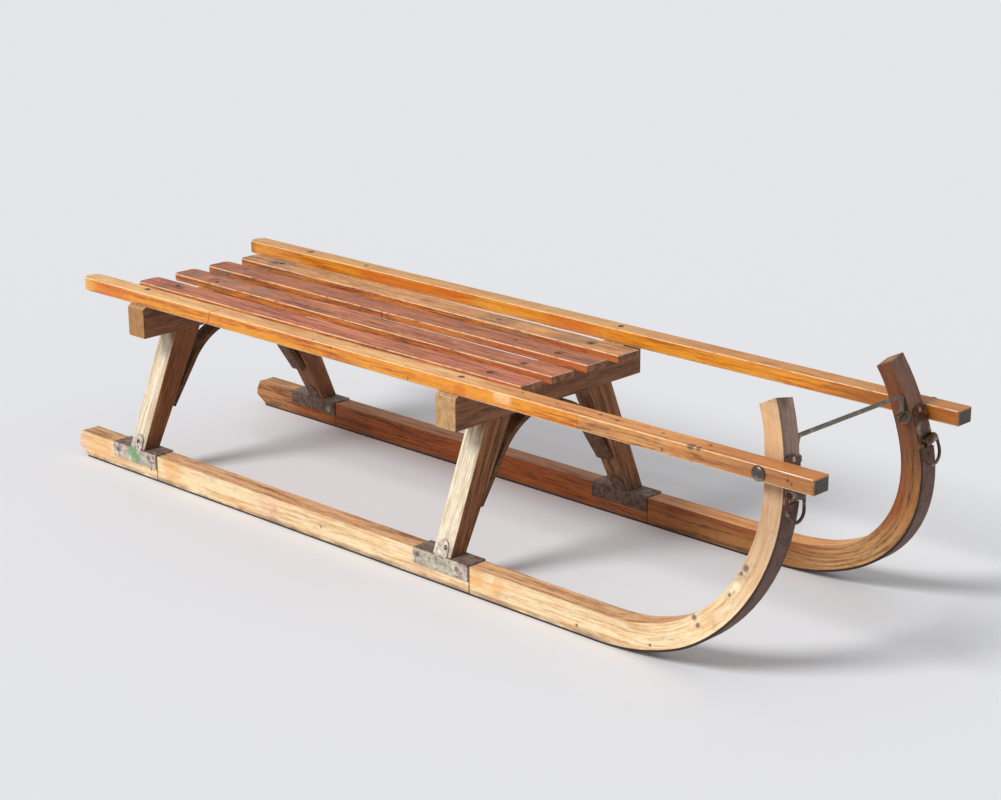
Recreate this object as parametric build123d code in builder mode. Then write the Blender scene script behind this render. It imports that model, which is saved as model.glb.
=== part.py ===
from build123d import *
from math import atan, cos, degrees, radians, sin, tan
from pathlib import Path

# Wooden sled with bent runners, four splayed legs, two cross beams, two side rails and four slats.
# Millimetres. +X is the way it travels, +Y its left, +Z up, the floor at z = 0.
# X = 0 lies half way along the sled, Y = 0 is its middle line.

# The sizes come first, then the values that follow from them, then the pieces.

# runner, bent from one straight stick
runner_splay = 10.0
runner_width = 28.0
runner_rear_x = -634.5
runner_thickness = 34.0
runner_bend_x = 350.5
rear_chamfer_x = 19.0
rear_chamfer_z = 12.0
rear_slope_x = 7.0
rear_slope_z = 15.0
lean_start_z = 40.0
# bend of the runner's underside, from the straight to the tip: radius and angle of each arc
low_bend_radius = 297.0
low_bend_angle = 21.7
main_bend_radius = 187.0
main_bend_angle = 71.3
high_bend_radius = 283.0
high_bend_angle = 24.0
# share of the bend's length, share of the runner's thickness there
bend_thickness = (
    (0.10, 0.953),
    (0.22, 0.894),
    (0.36, 0.853),
    (0.50, 0.818),
    (0.64, 0.785),
    (0.78, 0.747),
    (0.90, 0.709),
    (1.00, 0.676),
)

# iron shoe under the runner
shoe_thickness = 3.0
shoe_inset = 1.2
shoe_rear_inset = 17.0
shoe_last_angle = 0.8

# seat frame
beam_front_x = 99.0
beam_rear_x = -500.0
beam_depth = 34.0
beam_half_length = 170.0
beam_top = 242.0
beam_height = 44.5
beam_end_drop = 3.0
beam_ease = 1.5

rail_inset = 5.0
rail_width = 28.5
rail_height = 18.5
rail_rear_round = 12.0
rail_ease = 2.5
rail_under_ease = 1.5
# side, how far the rail goes past the rear beam's middle and past the bolt
rail_ends = (
    ("right", 127.5, 72.3),
    ("left", 125.0, 53.3),
)

slat_rear_x = -576.5
slat_front_x = 165.0
slat_thickness = 9.5
slat_ease = 1.0
slat_rear_round = 9.0
# slat number, then as shares of the half width between the rails: its middle at the rear end and
# at the front end, its width; old slats, none quite parallel
slats = (
    (1, -0.652, -0.656, 0.271),
    (2, -0.175, -0.250, 0.289),
    (3, 0.271, 0.218, 0.282),
    (4, 0.722, 0.645, 0.286),
)

# legs
leg_width = 31.5
leg_top_inset = 55.0
leg_top_thickness = 44.0
leg_ease = 2.0
tenon_width = 16.0
tenon_length = 24.0
tenon_rise = 26.0
fit_gap = 0.2

# bentwood bow under each beam
bow_thickness = 7.5
bow_width = 24.0
bow_end_z = 92.0
# the straight lower part, from the vertical
bow_tilt = 34.0

# sheet metal saddle between leg and runner
sheet = 1.6
saddle_length = 94.0
saddle_drop = 19.0
saddle_setback_front = 1.0
saddle_setback_rear = 4.5
ear_z = 48.0
ear_radius = 10.0

# cross rod and the bolts that hold it
rod_radius = 3.0
wire_sides = 6
rod_rise = 25.5
rod_bend = 5.0
eye_radius = 9.0
eye_thickness = 3.0
bolt_depth = 10.0
bolt_radius = 3.0
bolt_head_radius = 9.0
# one ring of the domed head after another: height, lean of its side
bolt_head_steps = ((2.0, 14.0), (2.0, 52.0))
bolt_tail = 3.0
hole_gap = 0.3
nut_radius = 6.0
nut_height = 5.0

# tow straps and rings
strap_width = 24.0
strap_thickness = 2.4
strap_top = 17.0
strap_hinge = 26.0
strap_top_round = 7.0
strap_below_bolt = 5.5
knuckle_width = 22.0
knuckle_gap = 0.7
ring_wire = 2.2
ring_half_width = 15.0
ring_drop = 29.5
ring_corner = 4.0

# values that follow
runner_top_z = shoe_thickness + runner_thickness
runner_outer_y = beam_half_length + runner_splay
rail_outer_y = beam_half_length - rail_inset
leg_top_outer_y = beam_half_length - leg_top_inset
leg_top_inner_y = leg_top_outer_y - leg_top_thickness
tenon_y = (leg_top_outer_y + leg_top_inner_y) / 2
bolt_z = beam_top + rail_height / 2
rod_z = bolt_z + rod_rise
strap_z = bolt_z - strap_below_bolt
lower_arcs = ((low_bend_radius, low_bend_angle), (main_bend_radius, main_bend_angle))
underside_arcs = lower_arcs + ((high_bend_radius, high_bend_angle),)
shoe_arcs = lower_arcs + ((high_bend_radius, shoe_last_angle),)
runner_inner_y = runner_outer_y - runner_width
rail_inner_y = rail_outer_y - rail_width
beam_bottom = beam_top - beam_height
leg_foot_z = runner_top_z + sheet
leg_rise = beam_bottom - leg_foot_z
leg_outer_slope = (runner_outer_y - leg_top_outer_y) / leg_rise
leg_inner_slope = (runner_inner_y - leg_top_inner_y) / leg_rise
# above the straight the runner leans in until its outer face meets the rail's lower inner edge
runner_lean = (runner_outer_y - rail_inner_y + fit_gap) / (beam_top - lean_start_z)
lean_angle = degrees(atan(runner_lean))
whole = 2000.0

sides = (("right", -1), ("left", 1))
# name, middle of the beam, how far the saddle sits behind it
crossings = (
    ("front", beam_front_x, saddle_setback_front),
    ("rear", beam_rear_x, saddle_setback_rear),
)

Path("parts").mkdir(exist_ok=True)


def save(part, name):
    part.label = name
    export_step(part, f"parts/{name}.step")


def bend_arcs(z, arcs, growth=0.0):
    # tangent arcs one after another, starting level at the end of the straight
    place = (runner_bend_x, z)
    heading = (1, 0)
    for radius, angle in arcs:
        arc = JernArc(place, heading, radius + growth, angle)
        place = arc @ 1
        heading = arc % 1
    return place


def runner_face_y(z):
    # outer face of the runner at a height above the straight
    return runner_outer_y - runner_lean * (z - lean_start_z)


# the last arc of the bend, and with it the place of the bolt, half way into the stick

with BuildLine() as lower_bend:
    bend_arcs(shoe_thickness, lower_arcs)
high_start = lower_bend.wire() @ 1
high_heading = lower_bend.wire() % 1
high_centre_x = high_start.X - high_bend_radius * high_heading.Y
high_centre_z = high_start.Y + high_bend_radius * high_heading.X


def front_x(z):
    # front face of the runner at a height on the last arc
    return high_centre_x + (high_bend_radius**2 - (high_centre_z - z) ** 2) ** 0.5


bolt_x = front_x(bolt_z) - bolt_depth

# the underside of the bend and the points of the runner's back beside it, in side view

with BuildLine() as underside:
    bend_arcs(shoe_thickness, underside_arcs)
bend = underside.wire()
above_tips = (bend @ 1).Y + runner_thickness

back_points = []
for share, thinning in bend_thickness:
    thickness = runner_thickness * thinning
    foot = bend.position_at(share)
    way = bend.tangent_at(share)
    back_points.append((foot.X - way.Y * thickness, foot.Y + way.X * thickness))

# runners and shoes

for side, s in sides:
    leaning_outline = (
        (s * runner_outer_y, -runner_thickness),
        (s * runner_outer_y, lean_start_z),
        (s * runner_face_y(above_tips), above_tips),
        (s * (runner_face_y(above_tips) - runner_width), above_tips),
        (s * runner_inner_y, lean_start_z),
        (s * runner_inner_y, -runner_thickness),
    )

    with BuildPart() as runner:
        with BuildSketch(Plane.XZ):
            with BuildLine():
                Line((runner_rear_x + rear_chamfer_x, shoe_thickness), (runner_bend_x, shoe_thickness))
                tip = bend_arcs(shoe_thickness, underside_arcs)
                Line(tip, back_points[-1])
                Spline(
                    (runner_bend_x, runner_top_z),
                    *back_points,
                    tangents=((1, 0), bend.tangent_at(1)),
                )
                Polyline(
                    (runner_bend_x, runner_top_z),
                    (runner_rear_x + rear_slope_x, runner_top_z),
                    (runner_rear_x, runner_top_z - rear_slope_z),
                    (runner_rear_x, shoe_thickness + rear_chamfer_z),
                    (runner_rear_x + rear_chamfer_x, shoe_thickness),
                )
            make_face()
        extrude(amount=whole, both=True)
        with BuildSketch(Plane.YZ):
            with BuildLine():
                Polyline(*leaning_outline, close=True)
            make_face()
        extrude(amount=whole, both=True, mode=Mode.INTERSECT)
        # the tip is cut square to the leaning stick
        tip_way = Vector(bend.tangent_at(1).X, -s * runner_lean * bend.tangent_at(1).Y, bend.tangent_at(1).Y)
        tip_middle = (tip.X, s * (runner_face_y(tip.Y) - runner_width / 2), tip.Y - runner_lean * runner_width / 2)
        with BuildSketch(Plane(origin=tip_middle, z_dir=tip_way)):
            Rectangle(4 * runner_width, 4 * runner_width)
        extrude(amount=runner_width, mode=Mode.SUBTRACT)
        with Locations(Location((bolt_x, 0, bolt_z), (90, 0, 0))):
            Cylinder(bolt_radius + hole_gap, 2 * runner_outer_y, mode=Mode.SUBTRACT)
    save(runner.part, f"runner_{side}")

    with BuildPart() as shoe:
        with BuildSketch(Plane.XZ):
            with BuildLine():
                shoe_rear_x = runner_rear_x + shoe_rear_inset
                Line((shoe_rear_x, 0), (runner_bend_x, 0))
                outer_end = bend_arcs(0, shoe_arcs, growth=shoe_thickness)
                Line((shoe_rear_x, shoe_thickness), (runner_bend_x, shoe_thickness))
                inner_end = bend_arcs(shoe_thickness, shoe_arcs)
                Line(outer_end, inner_end)
                Line((shoe_rear_x, 0), (shoe_rear_x, shoe_thickness))
            make_face()
        extrude(amount=whole, both=True)
        with BuildSketch(Plane.YZ):
            with BuildLine():
                Polyline(*leaning_outline, close=True)
            make_face()
            offset(amount=-shoe_inset)
        extrude(amount=whole, both=True, mode=Mode.INTERSECT)
    save(shoe.part, f"runner_shoe_{side}")

# beams with mortises, legs with tenons, saddles and bows

for name, x, setback in crossings:
    with BuildPart() as beam:
        with BuildSketch(Plane.YZ.offset(x)):
            with BuildLine():
                Polyline(
                    (-beam_half_length, beam_bottom),
                    (beam_half_length, beam_bottom),
                    (beam_half_length, beam_top - beam_end_drop),
                    (rail_outer_y, beam_top),
                    (-rail_outer_y, beam_top),
                    (-beam_half_length, beam_top - beam_end_drop),
                    close=True,
                )
            make_face()
        extrude(amount=beam_depth / 2, both=True)
        fillet(beam.edges().filter_by(Axis.X), radius=beam_ease)
        with BuildSketch(Plane.XY.offset(beam_bottom)):
            with Locations((x, tenon_y), (x, -tenon_y)):
                Rectangle(tenon_width + 2 * fit_gap, tenon_length + 2 * fit_gap)
        extrude(amount=tenon_rise + fit_gap, mode=Mode.SUBTRACT)
    save(beam.part, f"beam_{name}")

    for side, s in sides:
        with BuildPart() as leg:
            with BuildSketch(Plane.YZ.offset(x)):
                with BuildLine():
                    Polyline(
                        (s * runner_outer_y, leg_foot_z),
                        (s * leg_top_outer_y, beam_bottom),
                        (s * leg_top_inner_y, beam_bottom),
                        (s * runner_inner_y, leg_foot_z),
                        close=True,
                    )
                make_face()
            extrude(amount=leg_width / 2, both=True)
            long_edges = leg.edges().filter_by(lambda edge: edge.length > leg_rise)
            fillet(long_edges, radius=leg_ease)
            with BuildSketch(Plane.XY.offset(beam_bottom)):
                with Locations((x, s * tenon_y)):
                    Rectangle(tenon_width, tenon_length)
            extrude(amount=tenon_rise)
        save(leg.part, f"leg_{name}_{side}")

        with BuildPart() as saddle:
            with BuildSketch(Plane.YZ.offset(x)):
                # cross-section: a cross plate, a flange down and an ear up on each side
                low = runner_top_z - saddle_drop
                high = ear_z + ear_radius + 2.0
                for foot_y, slope, out in (
                    (runner_outer_y, leg_outer_slope, 1),
                    (runner_inner_y, leg_inner_slope, -1),
                ):
                    near_y = foot_y + out * fit_gap
                    far_y = near_y + out * sheet
                    climb = high - leg_foot_z
                    with BuildLine():
                        Polyline(
                            (s * near_y, low),
                            (s * near_y, leg_foot_z),
                            (s * (near_y - slope * climb), high),
                            (s * (far_y - slope * climb), high),
                            (s * far_y, leg_foot_z),
                            (s * far_y, low),
                            close=True,
                        )
                    make_face()
                with Locations((s * (runner_outer_y + runner_inner_y) / 2, runner_top_z + sheet / 2)):
                    Rectangle(runner_width + 2 * fit_gap + sheet, sheet)
            extrude(amount=saddle_length, both=True)
            with BuildSketch(Plane.XZ):
                with Locations((x - setback, (low + leg_foot_z) / 2)):
                    Rectangle(saddle_length, leg_foot_z - low)
                with Locations((x, ear_z)):
                    Circle(ear_radius)
                with Locations((x, (leg_foot_z + ear_z) / 2)):
                    Rectangle(2 * ear_radius, ear_z - leg_foot_z + 1.0)
            extrude(amount=whole, both=True, mode=Mode.INTERSECT)
        save(saddle.part, f"saddle_{name}_{side}")

    with BuildPart() as bow:
        # straight up from the corner that meets the leg, then one arc that touches the beam
        tilt = radians(bow_tilt)
        leg_face_y = leg_top_inner_y + leg_inner_slope * (beam_bottom - bow_end_z)
        end_y = leg_face_y - fit_gap - bow_thickness / 2 * cos(tilt)
        end_z = bow_end_z - bow_thickness / 2 * sin(tilt)
        crown_z = beam_bottom - fit_gap - bow_thickness / 2
        bow_radius = (end_y * cos(tilt) + (end_z - crown_z) * sin(tilt)) / (1 - sin(tilt))
        touch_y = bow_radius * cos(tilt)
        touch_z = crown_z - bow_radius * (1 - sin(tilt))
        with BuildLine(Plane.YZ.offset(x)) as arch:
            Line((-end_y, end_z), (-touch_y, touch_z))
            ThreePointArc((-touch_y, touch_z), (0, crown_z), (touch_y, touch_z))
            Line((touch_y, touch_z), (end_y, end_z))
        path = arch.wire()
        with BuildSketch(Plane(origin=path @ 0, x_dir=(1, 0, 0), z_dir=path % 0)):
            Rectangle(bow_width, bow_thickness)
        sweep(path=path)
    save(bow.part, f"bow_{name}")

# rails and slats

for (side, s), (_, past_beam, past_bolt) in zip(sides, rail_ends):
    rail_rear_x = beam_rear_x - past_beam
    rail_front_x = bolt_x + past_bolt
    with BuildPart() as rail:
        with BuildSketch(Plane.XY.offset(beam_top)):
            with Locations(((rail_rear_x + rail_front_x) / 2, s * (rail_outer_y + rail_inner_y) / 2)):
                Rectangle(rail_front_x - rail_rear_x, rail_width)
        extrude(amount=rail_height)
        fillet(rail.edges().filter_by(Axis.Z).group_by(Axis.X)[0], radius=rail_rear_round)
        fillet(rail.faces().sort_by(Axis.Z)[-1].edges(), radius=rail_ease)
        chamfer(rail.faces().sort_by(Axis.Z)[0].edges(), length=rail_under_ease)
        with Locations(Location((bolt_x, 0, bolt_z), (90, 0, 0))):
            Cylinder(bolt_radius + hole_gap, 2 * whole, mode=Mode.SUBTRACT)
    save(rail.part, f"rail_{side}")

for number, rear_share, front_share, width_share in slats:
    slat_length = slat_front_x - slat_rear_x
    middle_y = (rear_share + front_share) / 2 * rail_inner_y
    turn = atan((front_share - rear_share) * rail_inner_y / slat_length)
    with BuildPart() as slat:
        with BuildSketch(Plane.XY.offset(beam_top)):
            with Locations(((slat_rear_x + slat_front_x) / 2, middle_y)):
                Rectangle(slat_length, width_share * rail_inner_y, rotation=degrees(turn))
        extrude(amount=slat_thickness)
        fillet(slat.edges().filter_by(Axis.Z).sort_by(Axis.X)[:2], radius=slat_rear_round)
        chamfer(slat.faces().sort_by(Axis.Z)[-1].edges(), length=slat_ease)
    save(slat.part, f"slat_{number}")

# cross rod with its eyes, bolts and nuts

inner_face_at_bolt = runner_face_y(bolt_z) - runner_width
eye_middle_y = inner_face_at_bolt - fit_gap - eye_thickness / 2
upright_y = inner_face_at_bolt - fit_gap - rod_radius
upright_low_z = bolt_z + eye_radius - 2.5

with BuildPart() as rod:
    with BuildLine(Plane.YZ.offset(bolt_x)) as rod_line:
        corner_y = upright_y - runner_lean * (rod_z - bolt_z)
        start_y = upright_y - runner_lean * (upright_low_z - bolt_z)
        FilletPolyline(
            (-start_y, upright_low_z),
            (-corner_y, rod_z),
            (corner_y, rod_z),
            (start_y, upright_low_z),
            radius=rod_bend,
        )
    rod_path = rod_line.wire()
    with BuildSketch(Plane(origin=rod_path @ 0, z_dir=rod_path % 0)):
        RegularPolygon(rod_radius, wire_sides)
    sweep(path=rod_path)
    for side, s in sides:
        with Locations(Location((bolt_x, s * eye_middle_y, bolt_z), (90 + s * lean_angle, 0, 0))):
            Cylinder(eye_radius, eye_thickness)
    with Locations(Location((bolt_x, 0, bolt_z), (90, 0, 0))):
        Cylinder(bolt_radius + hole_gap, 2 * whole, mode=Mode.SUBTRACT)
save(rod.part, "cross_rod")

nut_face_y = eye_middle_y - eye_thickness / 2 - eye_radius * runner_lean - 2 * fit_gap
bolt_end_y = nut_face_y - nut_height - bolt_tail
for side, s in sides:
    with BuildPart() as bolt:
        step_y = rail_outer_y + fit_gap
        step_radius = bolt_head_radius
        for rise, lean in bolt_head_steps:
            with BuildSketch(Plane(origin=(bolt_x, s * step_y, bolt_z), z_dir=(0, s, 0))):
                Circle(step_radius)
            extrude(amount=rise, taper=lean)
            step_y += rise
            step_radius -= rise * tan(radians(lean))
        with BuildSketch(Plane(origin=(bolt_x, s * (rail_outer_y + fit_gap), bolt_z), z_dir=(0, -s, 0))):
            Circle(bolt_radius)
        extrude(amount=rail_outer_y + fit_gap - bolt_end_y)
    save(bolt.part, f"rail_bolt_{side}")

    with BuildPart() as nut:
        with BuildSketch(Plane(origin=(bolt_x, s * nut_face_y, bolt_z), z_dir=(0, -s, 0))):
            RegularPolygon(nut_radius, 6)
            Circle(bolt_radius + 0.05, mode=Mode.SUBTRACT)
        extrude(amount=nut_height)
    save(nut.part, f"rail_nut_{side}")

# tow straps and rings on the front faces

strap_x = front_x(strap_z)
strap_sin = (strap_x - high_centre_x) / high_bend_radius
strap_cos = (high_centre_z - strap_z) / high_bend_radius
back_lean = Vector(strap_cos, 0, strap_sin)
face_normal = Vector(strap_sin, 0, -strap_cos)
knuckle_inner = ring_wire + knuckle_gap
knuckle_outer = knuckle_inner + strap_thickness

for side, s in sides:
    strap_y = s * (runner_face_y(strap_z) - runner_width / 2)
    up = (back_lean * cos(radians(lean_angle)) + Vector(0, -s, 0) * sin(radians(lean_angle))).normalized()
    across = up.cross(face_normal)
    on_face_middle = Vector(strap_x, strap_y, strap_z) + face_normal * fit_gap
    on_face = Plane(origin=on_face_middle, x_dir=across, z_dir=face_normal)
    section = Plane(origin=on_face.origin, x_dir=up, z_dir=across)

    with BuildPart() as strap:
        with BuildSketch(on_face) as plate:
            with Locations((0, (strap_top - strap_hinge) / 2)):
                Rectangle(strap_width, strap_top + strap_hinge)
            top_corners = plate.vertices().group_by(Axis.Y)[-1]
            fillet(top_corners, radius=strap_top_round)
        extrude(amount=strap_thickness)
        with BuildSketch(section):
            with Locations((-strap_hinge, knuckle_outer)):
                Circle(knuckle_outer)
        extrude(amount=knuckle_width / 2, both=True)
        with BuildSketch(section):
            with Locations((-strap_hinge, knuckle_outer)):
                Circle(knuckle_inner)
        extrude(amount=strap_width, both=True, mode=Mode.SUBTRACT)
    save(strap.part, f"tow_strap_{side}")

    # a straight bar through the knuckle, rounded corners, two sides and a half circle below
    hinge = on_face.origin - up * strap_hinge + face_normal * knuckle_outer
    half_bar = ring_half_width - ring_corner
    bow_middle = hinge - up * (ring_drop - ring_half_width)
    with BuildPart() as ring:
        with BuildSketch(Plane(origin=hinge - across * half_bar, x_dir=face_normal, z_dir=across)):
            RegularPolygon(ring_wire, wire_sides)
        extrude(amount=2 * half_bar)
        for out in (1, -1):
            corner_middle = hinge + across * out * half_bar - up * ring_corner
            bar_end = Plane(origin=hinge + across * out * half_bar, x_dir=face_normal, z_dir=across * out)
            with BuildSketch(bar_end):
                RegularPolygon(ring_wire, wire_sides)
            revolve(axis=Axis(corner_middle, face_normal * -out), revolution_arc=90)
            side_top = Plane(origin=corner_middle + across * out * ring_corner, x_dir=face_normal, z_dir=-up)
            with BuildSketch(side_top):
                RegularPolygon(ring_wire, wire_sides)
            extrude(amount=ring_drop - ring_half_width - ring_corner)
        with BuildSketch(Plane(origin=bow_middle + across * ring_half_width, x_dir=face_normal, z_dir=-up)):
            RegularPolygon(ring_wire, wire_sides)
        revolve(axis=Axis(bow_middle, -face_normal), revolution_arc=180)
    save(ring.part, f"tow_ring_{side}")
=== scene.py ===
"""Looks of an old slatted wooden sled: its timber, worn iron, small fasteners and the studio it stands in."""

import math

import bmesh
import bpy
from bpy.props import FloatProperty, FloatVectorProperty, PointerProperty
from mathutils import Matrix, Vector
from mathutils.bvhtree import BVHTree


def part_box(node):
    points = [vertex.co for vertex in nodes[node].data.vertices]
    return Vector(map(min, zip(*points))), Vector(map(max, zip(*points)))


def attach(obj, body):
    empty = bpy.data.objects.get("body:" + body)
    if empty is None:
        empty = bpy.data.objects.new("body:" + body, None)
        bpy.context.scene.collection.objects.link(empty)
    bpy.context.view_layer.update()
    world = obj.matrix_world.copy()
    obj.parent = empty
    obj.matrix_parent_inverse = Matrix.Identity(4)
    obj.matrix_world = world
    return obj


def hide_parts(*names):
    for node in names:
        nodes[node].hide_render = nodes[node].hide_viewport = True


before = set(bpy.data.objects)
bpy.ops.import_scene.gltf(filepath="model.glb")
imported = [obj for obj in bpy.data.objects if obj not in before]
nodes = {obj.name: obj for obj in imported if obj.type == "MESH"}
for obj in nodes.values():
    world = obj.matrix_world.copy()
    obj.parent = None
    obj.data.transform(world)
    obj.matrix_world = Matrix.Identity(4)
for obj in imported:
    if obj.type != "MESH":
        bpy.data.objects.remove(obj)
bpy.context.view_layer.update()

bl_info = {
    "name": "Wooden Sled Looks",
    "version": (1, 0, 0),
    "blender": (4, 5, 0),
    "location": "3D View > Sidebar > Sled",
    "description": "Materials and small fasteners of an old slatted wooden sled",
    "category": "Object",
}

MM = 0.001

SIDES = (("right", -1), ("left", 1))

# places of the two cross beams along the sled, in metres
FRONT_BEAM_X = 0.099
REAR_BEAM_X = -0.5
BETWEEN_BEAMS_X = -0.2

# height above which the runners' ends are rounded more than their long edges
RUNNER_TIP_Z = 0.306


def paint(red, green, blue):
    """A colour written as screen values from 0 to 255, in the linear values that Blender keeps."""
    screen = [part / 255 for part in (red, green, blue)]
    return tuple(part / 12.92 if part <= 0.04045 else ((part + 0.055) / 1.055) ** 2.4 for part in screen)


def swatch(name, description, red, green, blue):
    """A colour that the user can change."""
    linear = paint(red, green, blue)
    return FloatVectorProperty(
        name=name, description=description, default=linear, subtype="COLOR", size=3, min=0, max=1
    )


def length(name, description, default):
    """A length in metres that the user can change."""
    return FloatProperty(
        name=name, description=description, default=default, min=0, unit="LENGTH", precision=4
    )


class SledColours(bpy.types.PropertyGroup):
    """Colours of the sled's timber and metal."""

    varnish: swatch("Rail varnish", "Varnish on the rails' sides", 228, 146, 36)
    varnish_deep: swatch("Rail varnish, deep", "Streaks in the varnish", 172, 84, 16)
    rail_top: swatch("Rail top", "Worn upper face of the rails", 252, 196, 126)
    rail_top_deep: swatch("Rail top, deep", "Streaks of the rails' upper face", 206, 134, 74)
    # pale edge colour of the rails: bare wood, and also a painted highlight
    rail_bare_and_sheen: swatch("Raw rail", "Wood bare along the rails' edges", 250, 222, 180)
    slat_faded: swatch("Faded slat", "Faded upper face of the slats", 222, 138, 98)
    slat_deep: swatch("Faded slat, deep", "Streaks in the slats", 124, 68, 48)
    slat_edge: swatch("Slat edge", "Orange-brown sides of the slats", 212, 124, 44)
    runner_pale: swatch("Runner, outside", "Bleached outer face of the runners", 242, 216, 172)
    runner_pale_deep: swatch("Runner, outside streaks", "Streaks of the runners' outer face", 206, 160, 110)
    runner_warm: swatch("Runner, inside", "Inner faces of the runners", 166, 82, 16)
    runner_warm_deep: swatch("Runner, inside streaks", "Streaks of the runners' inner faces", 90, 38, 8)
    runner_top: swatch("Runner, top", "Upper faces of the runners", 242, 186, 134)
    leg_pale: swatch("Leg, outside", "Bleached outer face of the legs", 236, 224, 200)
    leg_dark: swatch("Leg, inside", "Weathered front and inner faces of the legs", 162, 108, 66)
    beam_end: swatch("Beam end", "End grain of the cross beams", 222, 182, 128)
    beam_dark: swatch("Beam face", "Dark faces of the cross beams", 146, 102, 72)
    bow_dark: swatch("Bow", "Grey-brown bentwood bows", 116, 78, 48)
    dirt: swatch("Dirt", "Dirt in the corners", 56, 46, 40)
    charcoal: swatch("Rail front end", "Blackened front ends of the rails", 108, 102, 98)
    iron: swatch("Iron", "Iron of straps, rings and nuts", 92, 66, 52)
    iron_bright: swatch("Rubbed iron", "Iron rubbed bright", 176, 158, 140)
    rust: swatch("Rust", "Red-brown rust", 134, 76, 44)
    saddle: swatch("Saddle", "Grey sheet metal of the saddles", 200, 186, 170)
    saddle_paint: swatch("Saddle paint", "Old green paint left on the saddles", 118, 164, 112)
    rod: swatch("Rod", "Grey-green iron of the cross rod", 116, 110, 98)


class SledSizes(bpy.types.PropertyGroup):
    """Sizes of the eased edges and the small fasteners."""

    runner_ease: length("Runner edge", "Rounding of the runners' long edges", 2.6 * MM)
    leg_ease: length("Leg edge", "Rounding of the legs' edges", 1.4 * MM)
    beam_ease: length("Beam edge", "Rounding of the cross beams' edges", 0.9 * MM)
    bow_ease: length("Bow edge", "Rounding of the bows' edges", 0.8 * MM)
    screw_radius: length("Screw", "Radius of the seat screws' heads", 3.6 * MM)
    small_screw_radius: length("Small screw", "Radius of the small screws' heads", 2.9 * MM)
    bolt_head_radius: length("Bolt head", "Radius of the rail bolts' domed heads", 9 * MM)
    tip_round: length("Runner tip", "Rounding of the upper ends of the runners", 4.5 * MM)
    rail_round: length("Rail end", "Rounding of the front ends of the rails", 6 * MM)


class SledStage(bpy.types.PropertyGroup):
    """Floor, light and camera."""

    floor: swatch("Floor", "Plain pale floor", 230, 230, 232)
    key: FloatProperty(
        name="Key light", description="Wide soft light from the camera's left", default=2.5, min=0
    )
    key_softness: FloatProperty(
        name="Key softness", description="Spread of the key light", default=math.radians(22), subtype="ANGLE"
    )
    sky: FloatProperty(name="Room light", description="Even light of the room", default=0.5, min=0)
    focal_length: FloatProperty(
        name="Focal length", description="Focal length of the camera in millimetres", default=80.95, min=1
    )


def maths_method(operation, swapped=False):
    """A method that joins two numbers by one kind of maths node."""

    def method(self, other):
        pair = (other, self) if swapped else (self, other)
        return self.finish.maths(operation, *pair)

    return method


class Amount:
    """A number that changes over a surface, used in ordinary arithmetic."""

    __add__ = maths_method("ADD")
    __radd__ = maths_method("ADD", swapped=True)
    __sub__ = maths_method("SUBTRACT")
    __rsub__ = maths_method("SUBTRACT", swapped=True)
    __mul__ = maths_method("MULTIPLY")
    __truediv__ = maths_method("DIVIDE")
    __pow__ = maths_method("POWER")
    __gt__ = maths_method("GREATER_THAN")
    __lt__ = maths_method("LESS_THAN")
    most = maths_method("MAXIMUM")

    def __init__(self, finish, socket):
        self.finish = finish
        self.socket = socket

    def __abs__(self):
        return self.finish.maths("ABSOLUTE", self)

    def rise(self, low, high):
        """0 below low, 1 above high, smooth between. With low above high it falls instead."""
        if low > high:
            return 1 - self.rise(high, low)
        sockets = {"Value": self, "From Min": low, "From Max": high}
        made = self.finish.node("ShaderNodeMapRange", {"interpolation_type": "SMOOTHSTEP"}, sockets)
        return Amount(self.finish, made.outputs["Result"])


class Colour:
    """A colour that changes over a surface, built up in coats."""

    def __init__(self, finish, socket):
        self.finish = finish
        self.socket = socket

    def lay(self, amount, other):
        """Lays another colour over this one, wholly where the amount is 1."""
        self.socket = self.finish.mix(amount, self.socket, other).socket


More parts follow.
